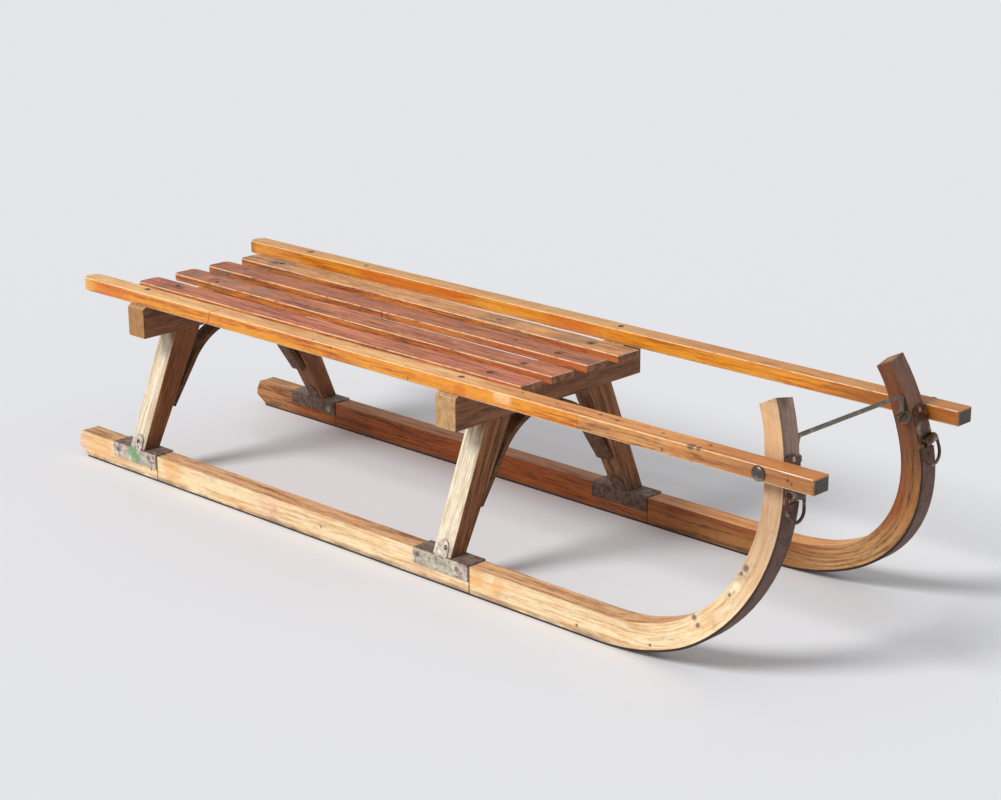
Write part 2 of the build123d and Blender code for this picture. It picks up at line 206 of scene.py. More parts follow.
class Finish:
    """One procedural material, built by the methods that add its nodes."""

    def __init__(self, name):
        self.material = bpy.data.materials.new(name)
        self.material.use_nodes = True
        self.tree = self.material.node_tree
        self.tree.nodes.clear()
        where = self.node("ShaderNodeTexCoord")
        self.x, self.y, self.z = self.parts(where.outputs["Object"])
        self.nx, self.ny, self.nz = self.parts(where.outputs["Normal"])

    def node(self, kind, settings=None, sockets=None):
        """A node of one type: its settings first, then the values or links of its sockets."""
        made = self.tree.nodes.new(kind)
        for name, value in (settings or {}).items():
            setattr(made, name, value)
        for name, value in (sockets or {}).items():
            self.join(value, made.inputs[name])
        return made

    def join(self, value, socket):
        """Links or sets one socket. A plain tuple is a colour in screen values."""
        if isinstance(value, (Amount, Colour)):
            value = value.socket
        if isinstance(value, bpy.types.NodeSocket):
            self.tree.links.new(value, socket)
        elif socket.type == "RGBA":
            linear = paint(*value) if isinstance(value, tuple) else value
            socket.default_value = (*linear[:3], 1)
        else:
            socket.default_value = value

    def parts(self, vector):
        """The three numbers of a vector."""
        split = self.node("ShaderNodeSeparateXYZ", None, {"Vector": vector})
        return [Amount(self, split.outputs[axis]) for axis in "XYZ"]

    def vector(self, x, y, z):
        return self.node("ShaderNodeCombineXYZ", None, {"X": x, "Y": y, "Z": z}).outputs["Vector"]

    def maths(self, operation, *numbers):
        made = self.node("ShaderNodeMath", {"operation": operation})
        for socket, number in zip(made.inputs, numbers):
            self.join(number, socket)
        return Amount(self, made.outputs["Value"])

    def noise(self, place, detail=3.0, rough=0.55):
        """Soft random numbers, mostly from 0.3 to 0.7."""
        sockets = {"Vector": self.vector(*place), "Scale": 1.0, "Detail": detail, "Roughness": rough}
        made = self.node("ShaderNodeTexNoise", None, sockets)
        return Amount(self, made.outputs[0])

    def cloud(self, along_x, along_y, along_z, detail=3.0, rough=0.55):
        """Noise over the sled, finer along an axis by that axis's number."""
        return self.noise((self.x * along_x, self.y * along_y, self.z * along_z), detail, rough)

    def mix(self, amount, first, second):
        """Colour between first and second."""
        made = self.node("ShaderNodeMix", {"data_type": "RGBA"})
        self.join(amount, made.inputs[0])
        self.join(first, made.inputs[6])
        self.join(second, made.inputs[7])
        return Colour(self, made.outputs[2])

    def line(self, across, place, width, core):
        """1 within the core of a line and 0 beyond its width, both in millimetres to each side."""
        return abs(across - place * MM).rise(width * MM, core * MM)

    def choose(self, mask, otherwise, chosen):
        """A number that is chosen where the mask is 1 and otherwise where it is 0."""
        return (1 - mask) * otherwise + mask * chosen

    def spots(self, places):
        """1 near any of several points, each (x, y, z, radius) in millimetres, with ragged edges."""
        ragged = 0.65 + self.cloud(160, 240, 240, 2.0) * 0.7
        shade = None
        for x, y, z, radius in places:
            away = self.maths(
                "SQRT",
                (self.x - x * MM) ** 2 + (self.y - y * MM) ** 2 + (self.z - z * MM) ** 2,
            )
            spot = (away * ragged).rise(radius * MM * 1.15, radius * MM * 0.5)
            shade = spot if shade is None else shade.most(spot)
        return shade

    def finished(
        self, colour, roughness, relief=None, depth=0.2 * MM, metal=0.0, coat=0.0, coat_rough=0.2, gloss=0.5
    ):
        """The shader and its output. Relief is a number, and depth how deep it is."""
        surface = self.node(
            "ShaderNodeBsdfPrincipled",
            None,
            {"Base Color": colour, "Roughness": roughness, "Metallic": metal, "Coat Weight": coat},
        )
        surface.inputs["Coat Roughness"].default_value = coat_rough
        surface.inputs["Specular IOR Level"].default_value = gloss
        if relief is not None:
            bump = self.node("ShaderNodeBump", None, {"Distance": depth, "Height": relief})
            self.tree.links.new(bump.outputs["Normal"], surface.inputs["Normal"])
        output = self.node("ShaderNodeOutputMaterial")
        self.tree.links.new(surface.outputs["BSDF"], output.inputs["Surface"])
        return self.material


class Timber:
    """Grain of a stick of wood. Along, across and depth are its own directions, in metres.

    The growth rings lie ring_gap apart round the pith, a line along the stick, both in millimetres.
    Wander bends them, and rings is their share of the grain.
    """

    def __init__(self, finish, along, across, depth, ring_gap=2.6, pith=(38, 26), wander=1.0, rings=0.22):
        def noise(lengthwise, crosswise, detail, rough=0.55):
            return finish.noise((along * lengthwise, across * crosswise, depth * crosswise), detail, rough)

        self.finish = finish
        drift = noise(2.3, 9, 2.0)
        waves = noise(9, 30, 2.0)
        bent = (drift - 0.5) * (16 * wander * MM) + (waves - 0.5) * (3.0 * wander * MM)
        away = finish.maths("SQRT", (across + pith[0] * MM) ** 2 + (depth + pith[1] * MM) ** 2) + bent
        turns = away / (ring_gap * MM)
        year = turns - finish.maths("FLOOR", turns)
        self.rings = year.rise(0.05, 0.85) * year.rise(1.0, 0.86)
        self.fibre = noise(26, 640, 4.0, 0.6).rise(0.36, 0.64)
        self.streak = noise(8, 190, 4.0, 0.6).rise(0.34, 0.66)
        self.fleck = noise(90, 420, 3.0, 0.6).rise(0.34, 0.66)
        self.broad = noise(5.5, 30, 3.0, 0.6)
        self.pores = noise(150, 2100, 1.0).rise(0.6, 0.72)
        self.grain = (
            self.rings * rings + self.fibre * 0.28 + self.streak * (0.4 - rings * 0.5) + self.fleck * 0.11
        )
        self.relief = (
            self.fibre * 0.5 + self.rings * 0.2 - self.pores * 0.5 + self.streak * 0.3 + self.fleck * 0.2
        )

    def colour(self, pale, deep, strength=1.0):
        """Wood between a pale and a deep colour, with dark pores."""
        f = self.finish
        amount = (self.grain * 0.85 + self.broad * 0.4).rise(0.38, 0.86)
        tone = f.mix(amount * strength, pale, deep)
        return f.mix(self.pores * 0.45 * strength, tone, deep)


def colours():
    return bpy.context.scene.sled_colours


def sizes():
    return bpy.context.scene.sled_sizes


def dress(names, finish_material):
    """Gives CAD nodes a finished material."""
    for name in names:
        for slot in nodes[name].material_slots:
            slot.material = finish_material


def make_piece(name, bm, material, body="sled", smooth=40, weighted=False):
    """A mesh object that rides on a body, from a bmesh in the sled's own place."""
    bmesh.ops.recalc_face_normals(bm, faces=bm.faces)
    mesh = bpy.data.meshes.new(name)
    bm.to_mesh(mesh)
    bm.free()
    for extra in ("custom_normal", "sharp_face", "sharp_edge"):
        if extra in mesh.attributes:
            mesh.attributes.remove(mesh.attributes[extra])
    mesh.materials.clear()
    mesh.materials.append(material)
    mesh.polygons.foreach_set("material_index", [0] * len(mesh.polygons))
    mesh.polygons.foreach_set("use_smooth", [True] * len(mesh.polygons))
    mesh.set_sharp_from_angle(angle=math.radians(smooth))
    piece = bpy.data.objects.new(name, mesh)
    bpy.context.scene.collection.objects.link(piece)
    if weighted:
        even = piece.modifiers.new("even shading", "WEIGHTED_NORMAL")
        even.keep_sharp = True
        even.weight = 80
    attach(piece, body)
    return piece


def merged_copy(node):
    """A bmesh of a CAD node with its corners joined and its flat faces whole."""
    bm = bmesh.new()
    bm.from_mesh(nodes[node].data)
    bmesh.ops.remove_doubles(bm, verts=bm.verts, dist=0.01 * MM)
    bmesh.ops.dissolve_limit(bm, angle_limit=math.radians(0.6), verts=bm.verts, edges=bm.edges)
    return bm


def round_front_end(bm, low, high, radius, facets=4):
    """Rounds the front end of a stick between two corners of its box.

    Its sides are rounded by the radius, its top and underside by half of it.
    """
    for axis, reach in ((1, radius), (2, radius * 0.5)):
        for limit, side in ((low, -1), (high, 1)):
            for facet in range(1, facets + 1):
                turn = math.pi / 2 * facet / (facets + 1)
                looks = Vector((math.cos(turn), 0, 0))
                looks[axis] = side * math.sin(turn)
                middle = Vector((high.x - reach, 0, 0))
                middle[axis] = limit[axis] - side * reach
                bmesh.ops.bisect_plane(
                    bm, geom=list(bm.verts) + list(bm.edges) + list(bm.faces), dist=1e-7,
                    plane_co=middle + looks * reach, plane_no=looks, clear_outer=True,
                )
                rim = [edge for edge in bm.edges if edge.is_boundary]
                if rim:
                    bmesh.ops.holes_fill(bm, edges=rim, sides=0)


def eased_copy(node, width, material, sharpest=28, segments=2, tip=0.0, tip_round=0.0):
    """A copy of a CAD node with its sharp edges rounded, those above the tip height more than the others."""
    bm = merged_copy(node)
    below_all = -1
    tip_segments = 4
    for lowest, offset, steps in ((tip, tip_round, tip_segments), (below_all, width, segments)):
        sharp = [
            edge
            for edge in bm.edges
            if len(edge.link_faces) == 2
            and edge.calc_face_angle() > math.radians(sharpest)
            and min(vert.co.z for vert in edge.verts) > lowest
        ]
        if offset > 0:
            bmesh.ops.bevel(
                bm, geom=sharp, offset=offset, offset_type="OFFSET", affect="EDGES",
                segments=steps, profile=0.5, material=-1, clamp_overlap=True,
            )
    piece = make_piece(f"{node}_eased", bm, material, weighted=True)
    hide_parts(node)
    return piece


def rounded_edge(finish, low=0.1, high=0.26):
    """1 on the rounded edges of a piece whose faces look along the axes."""
    flattest = abs(finish.nx).most(abs(finish.ny)).most(abs(finish.nz))
    return (1 - flattest).rise(low, high)


def runner_finish():
    c = colours()
    f = Finish("runner timber")
    # the grain follows the bend: the long arc has one centre, the upright another and a wider radius,
    # and starts at a slope past level; the sides lean in above the lean's height
    low_x, low_z = 0.3912, 0.1978
    high_x, high_z = 0.2953, 0.1928
    wider_radius = 0.0960
    middle_radius = 0.175
    upright_slope = 0.0524
    lean_height, lean_slope = 0.04, 0.2163
    out_x = f.x - low_x
    reach = f.maths("SQRT", out_x ** 2 + (f.z - low_z) ** 2)
    angle = f.maths("ARCTAN2", out_x, low_z - f.z)
    up_reach = f.maths("SQRT", (f.x - high_x) ** 2 + (f.z - high_z) ** 2) - wider_radius
    in_bend = f.x > low_x
    upright = (f.z - low_z - out_x * upright_slope) > 0
    depth = f.choose(in_bend, low_z - f.z, f.choose(upright, reach, up_reach))
    along = f.choose(in_bend, f.x, low_x + angle * middle_radius)
    outward = f.maths("SIGN", f.y)
    across = f.y * outward + (f.z - lean_height).most(0) * lean_slope
    wood = Timber(f, along, across, depth, 2.4, (-110, -150), rings=0.07)

    outer = (f.ny * outward).rise(0.4, 0.8)
    inner = (f.ny * outward).rise(-0.4, -0.8)
    front = f.x.rise(0.0, 0.3)
    height = low_z - depth
    patches = f.noise((along * 14, across * 60, depth * 60), 4.0, 0.62)
    clouds = f.noise((along * 30 + 9, across * 90, depth * 90), 4.0, 0.6)

    # outer face: honey and cream, with orange and pinkish patches
    pale = wood.colour(c.runner_pale, c.runner_pale_deep)
    pale.lay(patches.rise(0.5, 0.66) * 0.4, (226, 162, 92))
    pale.lay(clouds.rise(0.5, 0.66) * 0.4, (240, 222, 192))
    honey = f.spots(((-585, -180, 20, 30), (158, -180, 24, 14), (195, -180, 26, 12), (-425, -180, 24, 22)))
    pale.lay(honey * 0.45, (232, 160, 78))
    pink = f.spots(((-222, -180, 22, 26), (60, -180, 12, 18), (-626, -180, 20, 18)))
    pale.lay(pink * 0.35, (222, 164, 138))
    pale.lay(f.z.rise(0.05, 0.2) * 0.62, (162, 112, 76))
    pale.lay(f.z.rise(0.25, 0.28) * 0.4, (236, 190, 138))

    # inner face: red-orange behind, olive-tan in front under a reddish upper edge
    behind = wood.colour(c.runner_warm, c.runner_warm_deep)
    behind.lay(patches.rise(0.46, 0.64) * 0.45, (172, 90, 26))
    ahead = wood.colour((170, 112, 56), (92, 52, 24))
    ahead.lay(clouds.rise(0.5, 0.64) * 0.4, (168, 124, 66))
    ahead.lay((height + (clouds - 0.5) * 0.012).rise(0.021, 0.033) * 0.7, (140, 66, 26))
    ahead.lay(f.x.rise(0.36, 0.46) * f.z.rise(0.13, 0.06) * 0.6, wood.colour((228, 180, 122), (150, 98, 54)))
    ahead.lay(f.z.rise(0.12, 0.22) * 0.85, wood.colour((132, 80, 42), (74, 40, 20)))
    inside = f.mix(front, behind, ahead)
    worn_end = f.x.rise(-0.53, -0.57)
    inside.lay(worn_end * 0.55, wood.colour((206, 154, 96), (112, 68, 34)))

    # upper face, and the inner side of the bend
    top = wood.colour(c.runner_top, (150, 94, 58))
    top.lay(clouds.rise(0.48, 0.66) * 0.4, (236, 196, 148))
    top.lay((outward + 1) * 0.3, (150, 82, 40))
    top.lay(front * (outward + 1) * 0.42, wood.colour((250, 176, 106), (202, 126, 68)))
    top.lay(worn_end * 0.5, wood.colour((214, 166, 110), (130, 84, 48)))
    colour = f.mix(inner, top, inside)

    # weathered front face of the uprights
    weathered = f.nx.rise(0.5, 0.85) * f.z.rise(0.2, 0.235)
    colour.lay(weathered, wood.colour((168, 138, 122), (112, 84, 70)))
    colour.lay(outer, pale)

    soil = f.cloud(22, 60, 60, 4.0, 0.65)
    low_edge = f.z.rise(0.012, 0.0035) * f.x.rise(0.44, 0.34)
    colour.lay(low_edge * soil.rise(0.3, 0.6) * 0.7, (98, 70, 52))
    colour.lay(soil.rise(0.57, 0.74) * 0.34, (108, 76, 56))
    # pale rounded edges: wood rubbed bare, and a painted highlight along them
    edge = rounded_edge(f, 0.05, 0.24) * soil.rise(0.64, 0.4)
    colour.lay(edge * 0.65, (248, 222, 180))
    knots = f.spots(
        (
            (487, -174, 68, 4), (493.6, -175.4, 61, 3.4), (545, -159, 137, 4.5), (540, -160.5, 130, 2.6),
            (529, -166, 104, 2.4), (430, -180, 20, 2.4), (-120, -180, 20, 2), (-470, -180, 15, 2.4),
            (320, -180, 12, 2.5), (566, 118, 300, 4),
        )
    )
    colour.lay(knots * 0.8, (84, 76, 78))
    chip = f.spots(((536, -163.7, 115, 6), (531, -164.5, 110, 3)))
    colour.lay(chip * 0.7, (250, 232, 200))
    # painted shadow: a thin dark line on the runners just ahead of each saddle's front edge, standing for the
    # shade cast by the saddle's edge
    front_saddle, rear_saddle = 146.2, -456.2
    saddle_edge_shadow = f.line(f.x, front_saddle, 1.5, 0.6).most(f.line(f.x, rear_saddle, 1.5, 0.6))
    colour.lay(saddle_edge_shadow * 0.8, (58, 40, 30))
    far_upright = f.z.rise(0.17, 0.26) * (outward + 1) * 0.3
    colour.lay(far_upright, (112, 60, 34))
    tip = f.z.rise(0.296, 0.321)
    colour.lay(tip * soil.rise(0.35, 0.6) * 0.6, (96, 70, 56))
    by_shoe = f.nx.rise(0.2, 0.5) * outer
    colour.lay(by_shoe * 0.4, c.dirt)
    scratch = f.noise((along * 60, across * 700, depth * 420), 1.0).rise(0.66, 0.74)
    colour.lay(scratch * 0.3, (140, 90, 54))
    rough = 0.4 + wood.fibre * 0.2 + soil * 0.12 - edge * 0.08
    relief = wood.relief - knots * 1.2 - chip * 2 - scratch * 0.5
    return f.finished(colour, rough, relief, 0.28 * MM, coat=0.1, coat_rough=0.22, gloss=0.35)


def leg_finish():
    c = colours()
    f = Finish("leg timber")
    outward = f.maths("SIGN", f.y)
    # cosine and sine of the legs' splay
    level, slope = 0.925, 0.38
    across = f.y * outward * level + f.z * slope
    along = f.z * level - f.y * outward * slope
    wood = Timber(f, along, across, f.x, 2.2, (60, 44), rings=0.1)
    outer = (f.ny * outward).rise(0.5, 0.8)
    cloud = f.noise((f.x * 60, along * 40, across * 60), 4.0, 0.6)
    pale = wood.colour(c.leg_pale, (176, 144, 106), 0.8)
    pale.lay(cloud.rise(0.5, 0.68) * 0.45, (212, 184, 132))
    middle_x = f.choose(f.x < BETWEEN_BEAMS_X, FRONT_BEAM_X, REAR_BEAM_X)
    stain = (f.z - 0.150) * 21 + (f.x - middle_x) * 30 + (cloud - 0.5) * 1.2
    stain = stain.rise(0.7, 1.35)
    pale.lay(stain * 0.85, (128, 84, 48))
    dark = wood.colour(c.leg_dark, (80, 46, 26))
    dark.lay(f.x.rise(-0.2, -0.3) * 0.5, (116, 62, 32))
    worn = f.noise((along * 14, across * 60, f.x * 60), 4.0, 0.65)
    dark.lay(worn.rise(0.52, 0.7) * 0.5, (182, 130, 84))
    colour = f.mix(outer, dark, pale)
    soil = f.cloud(50, 50, 30, 4.0, 0.65)
    colour.lay(soil.rise(0.6, 0.74) * 0.3, (98, 74, 56))
    foot = f.z.rise(0.07, 0.042)
    colour.lay(foot * soil.rise(0.35, 0.6) * 0.45, c.dirt)
    edge = rounded_edge(f, 0.13, 0.27)
    colour.lay(edge * 0.3, (226, 190, 144))
    return f.finished(colour, 0.52 + wood.fibre * 0.2, wood.relief, 0.25 * MM, gloss=0.3)


def beam_finish():
    c = colours()
    f = Finish("beam timber")
    wood = Timber(f, f.y, f.x, f.z, 2.8, (75, -195))
    # end grain: growth rings seen end on, round a heart beside the beam
    rear = f.x < BETWEEN_BEAMS_X
    own_x = f.x - f.choose(rear, FRONT_BEAM_X, REAR_BEAM_X)
    heart_x, heart_z = -0.04, 0.175
    away = f.maths("SQRT", (own_x - heart_x) ** 2 + (f.z - heart_z) ** 2)
    wobble = f.cloud(60, 60, 60, 3.0)
    turns = (away + wobble * 0.006) / (2.4 * MM)
    year = turns - f.maths("FLOOR", turns)
    rings = year.rise(0.1, 0.8) * year.rise(1.0, 0.86)
    dots = f.cloud(900, 100, 900, 3.0, 0.65)
    blotch = f.cloud(130, 60, 130, 4.0, 0.65)
    end = f.mix((rings * 0.3 + dots * 0.6 + blotch * 0.5).rise(0.5, 0.9), c.beam_end, (128, 84, 48))
    end.lay(rear * 0.6, (160, 104, 54))
    end.lay(blotch.rise(0.56, 0.7) * rear * 0.6, (136, 92, 60))
    is_end = abs(f.ny).rise(0.6, 0.9)
    face = wood.colour(c.beam_dark, (98, 66, 48))
    up = f.nz.rise(0.6, 0.9)
    face.lay(up, wood.colour((196, 156, 116), (142, 104, 76)))
    worn = f.cloud(70, 16, 70, 4.0, 0.65)
    face.lay(worn.rise(0.5, 0.7) * 0.5, (172, 120, 88))
    colour = f.mix(is_end, face, end)
    soil = f.cloud(45, 45, 45, 4.0, 0.65)
    colour.lay(soil.rise(0.57, 0.72) * 0.3, c.dirt)
    # pale rounded edges: wood rubbed bare, and a painted highlight along them
    edge = rounded_edge(f)
    colour.lay(edge * 0.6, (236, 208, 166))
    relief = wood.relief + rings * is_end * 0.3 + dots * is_end * 0.4
    return f.finished(colour, 0.58 + wood.fibre * 0.2, relief, 0.25 * MM, gloss=0.25)


def bow_finish():
    c = colours()
    f = Finish("bow timber")
    wood = Timber(f, f.y, f.x, f.z, 2.0, (55, 80))
    colour = wood.colour(c.bow_dark, (62, 40, 24))
    worn = f.cloud(70, 22, 22, 4.0, 0.65)
    colour.lay(worn.rise(0.5, 0.7) * 0.4, (146, 104, 66))
    edge = rounded_edge(f, 0.2, 0.29)
    colour.lay(edge * 0.35, (180, 146, 108))
    return f.finished(colour, 0.52 + wood.fibre * 0.25, wood.relief, 0.22 * MM, gloss=0.3)


def rail_finish():
    c = colours()
    f = Finish("rail timber")
    wood = Timber(f, f.x, f.y, f.z, 2.5, (-120, -190), 0.8, rings=0.06)
    near_rail = f.y < 0
    side = abs(f.ny).rise(0.5, 0.85)
    up = f.nz.rise(0.5, 0.85)
    under = f.nz.rise(-0.45, -0.8)
    patches = f.cloud(12, 60, 90, 4.0, 0.62)
    clouds = f.noise((f.x * 34 + 4, f.y * 90, f.z * 120), 4.0, 0.62)

    # sides: deep orange varnish, rubbed to tan ahead of the seat
    ahead = f.x.rise(0.303, 0.308)
    side_wood = wood.colour(c.varnish, c.varnish_deep)
    side_wood.lay(patches.rise(0.5, 0.68) * 0.4, (240, 168, 54))
    deep = f.spots(
        (
            (-560, -165, 250, 40), (118, -165, 248, 12),
            (-240, 137, 250, 90), (-330, 137, 250, 60), (20, 137, 250, 50),
        )
    )
    side_wood.lay(deep * 0.55, (206, 96, 24))
    rubbed = wood.colour((212, 156, 96), (138, 80, 36))
    rubbed.lay(clouds.rise(0.46, 0.62) * 0.6, (206, 136, 66))
    rubbed.lay(f.x.rise(0.44, 0.56) * 0.65, (148, 88, 44))
    side_wood.lay(ahead * near_rail, rubbed)
    side_wood.lay(f.x.rise(0.4, 0.5) * (1 - near_rail) * 0.7, (128, 66, 28))

    # tops: peach and tan, more orange ahead of the seat
    top_wood = wood.colour(c.rail_top, c.rail_top_deep)
    top_wood.lay(clouds.rise(0.46, 0.64) * 0.45, (246, 208, 154))
    top_wood.lay(patches.rise(0.5, 0.66) * 0.45, (212, 136, 82))
    orange_top = wood.colour((234, 158, 84), (166, 88, 36))
    orange_top.lay(clouds.rise(0.48, 0.64) * 0.5, (228, 150, 92))
    top_wood.lay(f.x.rise(0.08, 0.24) * (0.5 + near_rail * 0.4), orange_top)
    top_wood.lay(f.x.rise(0.46, 0.54) * 0.55, (184, 108, 58))
    top_wood.lay((1 - near_rail) * 0.4, (176, 120, 66))
    colour = f.mix(up, side_wood, top_wood)
    colour.lay(under, wood.colour((196, 130, 70), (130, 78, 42)))

    pale_patch = f.x.rise(0.171, 0.178) * f.x.rise(0.206, 0.196) * f.z.rise(0.245, 0.252) * near_rail * side
    colour.lay(pale_patch * clouds.rise(0.3, 0.5) * 0.6, (246, 208, 160))
    rear = f.x.rise(-0.59, -0.622) * clouds.rise(0.34, 0.5)
    colour.lay(rear * near_rail * 0.7, (232, 184, 118))
    colour.lay(f.x.rise(-0.6, -0.62) * (1 - near_rail) * (1 - up) * 0.7, (112, 60, 34))
    soil = f.cloud(40, 120, 120, 4.0, 0.66)
    colour.lay(soil.rise(0.58, 0.72) * 0.4, (150, 90, 52))
    joint_line = near_rail * f.y.rise(-0.1405, -0.138) * up * f.x.rise(-0.59, -0.57) * f.x.rise(0.17, 0.15)
    colour.lay(joint_line * 0.5, (150, 84, 56))

    # edges rubbed bare, with a painted highlight along them
    edge = rounded_edge(f) * (1 - f.nx.rise(0.2, 0.5))
    broken = f.cloud(45, 30, 30, 3.0, 0.7)
    colour.lay(edge * broken.rise(0.28, 0.5) * 0.85, c.rail_bare_and_sheen)
    # painted highlight: a bright streak on the near rail's rounded top edge towards its front end
    shine = edge * near_rail * f.x.rise(0.584, 0.596) * f.x.rise(0.626, 0.614) * f.z.rise(0.258, 0.2596)
    colour.lay(shine * 0.8, (255, 246, 230))
    scuff = f.spots(
        ((469, -163, 260, 6), (480, -163, 259.5, 4), (-109, -164, 258, 2.2), (600, -165, 252, 2.4))
    )
    on_top = (
        (-501, -147, 5), (106, -149, 5.5), (325, -147, 3.2), (353, -150.5, 3.8), (262, -150, 2.4),
        (203, -145, 2.6), (420, -151, 3), (484, -148, 3.2), (-145, -161, 2.6), (-500, 151, 6.5),
        (98, 151, 5), (520, 150, 3), (-380, 150, 5),
    )
    on_side = ((605, 249, 2), (430, 247, 2.4), (30, 246, 1.8))
    nicks = f.spots(
        [(x, y, 260.5, radius) for x, y, radius in on_top]
        + [(x, -165, z, radius) for x, z, radius in on_side]
    )
    colour.lay(nicks * 0.75, (74, 52, 44))
    colour.lay(scuff * 0.7, (60, 48, 44))
    wander = f.noise((f.z * 400, 0, 0), 2.0)
    crack_x = f.x - (f.z - 0.25) * 0.3 + (wander - 0.5) * 0.004
    crack = f.line(crack_x, -348.7, 0.7, 0.25) * near_rail
    colour.lay(crack * 0.9, (84, 42, 18))
    step = f.line(f.x, 305, 0.9, 0.3) * near_rail * side
    colour.lay(step * 0.6, (146, 66, 26))
    scratch = f.cloud(70, 900, 900, 1.0).rise(0.64, 0.72)
    colour.lay(scratch * 0.3, (168, 98, 48))
    front_face = f.nx.rise(0.5, 0.8) * (f.x > 0.5)
    middle_y, middle_z = 0.15075, 0.25125
    half_width, half_height = 0.0122, 0.0072
    rim = (abs(abs(f.y) - middle_y) - half_width).most(abs(f.z - middle_z) - half_height)
    rim = rim + (broken - 0.5) * 0.003
    burnt = f.mix(rim.rise(0.0, 0.0012), f.mix(soil, c.charcoal, (64, 58, 56)), (176, 128, 84))
    colour.lay(front_face, burnt)
    rough = 0.3 + wood.fibre * 0.16 + soil * 0.14 + front_face * 0.35
    relief = wood.relief * 0.8 - nicks * 1.4 - crack * 3 - scratch * 0.4
    coat = (0.42 - up * 0.24 - soil * 0.3 - front_face * 0.3).most(0)
    return f.finished(colour, rough, relief, 0.2 * MM, coat=coat, coat_rough=0.16, gloss=0.32)


def slat_finish():
    c = colours()
    f = Finish("slat timber")
    wood = Timber(f, f.x, f.y, f.z, 2.6, (-30, -210), 1.1, rings=0.12)
    up = f.nz.rise(0.5, 0.85)
    first = f.y.rise(-0.062, -0.066)
    last = f.y.rise(0.066, 0.070)
    patches = f.cloud(7, 45, 45, 4.0, 0.62)
    clouds = f.noise((f.x * 24 + 3, f.y * 90, f.z * 90), 4.0, 0.62)
    faded = wood.colour(c.slat_faded, c.slat_deep)
    rosy = wood.colour((228, 138, 102), (150, 80, 58))
    tan = wood.colour((240, 176, 116), (158, 100, 60))
    third = f.y.rise(0.0, 0.01) * f.y.rise(0.066, 0.06)
    top = f.mix(first, faded, rosy)
    top.lay(last, tan)
    top.lay(third * 0.4, (146, 84, 64))
    top.lay(patches.rise(0.5, 0.66) * 0.4, (214, 136, 82))
    mauve = f.noise((f.x * 9, f.y * 60, 7), 4.0, 0.65)
    top.lay(mauve.rise(0.5, 0.66) * 0.5 * (1 - last * 0.7), (118, 78, 68))
    top.lay(clouds.rise(0.52, 0.66) * 0.3, (208, 138, 104))
    faded_to_grey = (
        (-545, -30, 26), (-470, -22, 26), (-400, -28, 30), (-510, 104, 30), (70, 96, 34), (-60, 84, 34)
    )
    grey_brown = f.spots([(x, y, 251, radius) for x, y, radius in faded_to_grey])
    top.lay(grey_brown * 0.5, (150, 118, 98))

    # sides: bright orange behind, red-brown in front, dirt in broken patches
    side = wood.colour(c.slat_edge, (128, 60, 22))
    side.lay(f.x.rise(-0.15, 0.12) * 0.55, (190, 96, 58))
    mud = ((-530, 26, 40), (-470, -42, 26), (-430, 84, 80), (-60, 82, 90), (80, -50, 30))
    muddy = f.spots([(x, y, 247, radius) for x, y, radius in mud])
    side.lay(muddy * clouds.rise(0.4, 0.58) * 0.65, (148, 112, 82))
    side.lay(clouds.rise(0.55, 0.66) * 0.4, (84, 44, 22))
    colour = f.mix(up, side, top)
    soil = f.cloud(26, 80, 80, 5.0, 0.68)
    rear = f.x.rise(-0.42, -0.53)
    colour.lay((soil + rear * 0.12).rise(0.58, 0.74) * 0.45, (104, 84, 72))
    # pale rounded edges: wood rubbed bare, and a painted highlight along them
    edge = rounded_edge(f)
    broken = f.cloud(50, 40, 40, 3.0, 0.7)
    colour.lay(edge * broken.rise(0.3, 0.5) * 0.85, (246, 204, 162))
    # painted shade: the slats' front ends, which face away from the key light, are painted dark brown
    front_end = f.nx.rise(0.6, 0.9)
    colour.lay(front_end * 0.85, f.mix(clouds.rise(0.4, 0.6), (150, 110, 78), (92, 68, 52)))
    round_screws = (
        (-503, -89, 7), (-503, -28, 11), (-516, 42, 6), (-515, 96, 9),
        (99, -89, 7), (101, -35, 7), (103, 31, 7), (101, 91, 9),
    )
    between_screws = ((-208, 10, 5), (-62, 92, 5), (-300, -34, 5), (20, 36, 4))
    stains = f.spots([(x, y, 251, radius) for x, y, radius in round_screws + between_screws])
    colour.lay(stains * 0.6, (80, 64, 60))
    split = f.line(f.x + (f.y - 0.008) * 0.2, -204, 1.2, 0.5)
    split = split * f.y.rise(-0.002, 0.002) * f.y.rise(0.022, 0.016)
    colour.lay(split * 0.8, (40, 30, 28))
    lines = f.cloud(14, 420, 420, 4.0, 0.65).rise(0.54, 0.64)
    colour.lay(lines * 0.5, (92, 56, 44))
    scratch = f.cloud(60, 1000, 1000, 1.0).rise(0.62, 0.7)
    colour.lay(scratch * 0.45, (108, 68, 54))
    rough = 0.42 + wood.fibre * 0.18 + soil * 0.16
    relief = wood.relief - stains * 0.8 - scratch * 0.5 - split * 3
    return f.finished(colour, rough, relief, 0.22 * MM, coat=0.08, coat_rough=0.25, gloss=0.3)


def iron_finish(name, base, bright, rust_share, shine=0.6):
    """Old iron: dark and pitted, rusty in patches, rubbed bright in others."""
    c = colours()
    f = Finish(name)
    mottled = f.cloud(130, 130, 130, 4.0, 0.66)
    pits = f.cloud(620, 620, 620, 2.0, 0.6)
    rust = mottled.rise(0.62 - rust_share * 0.3, 0.76 - rust_share * 0.3)
    colour = f.mix(rust, base, c.rust)
    colour.lay(pits.rise(0.5, 0.72) * 0.6, (34, 28, 26))
    rubbed = f.cloud(70, 70, 70, 3.0).rise(0.52, 0.64) * (1 - rust)
    colour.lay(rubbed * 0.5, bright)
    rough = 0.3 + rust * 0.35 + pits * 0.16 - rubbed * 0.08
    metal = (shine - rust * shine).most(0)
    return f.finished(colour, rough, pits * 0.6 + mottled * 0.5, 0.25 * MM, metal=metal)


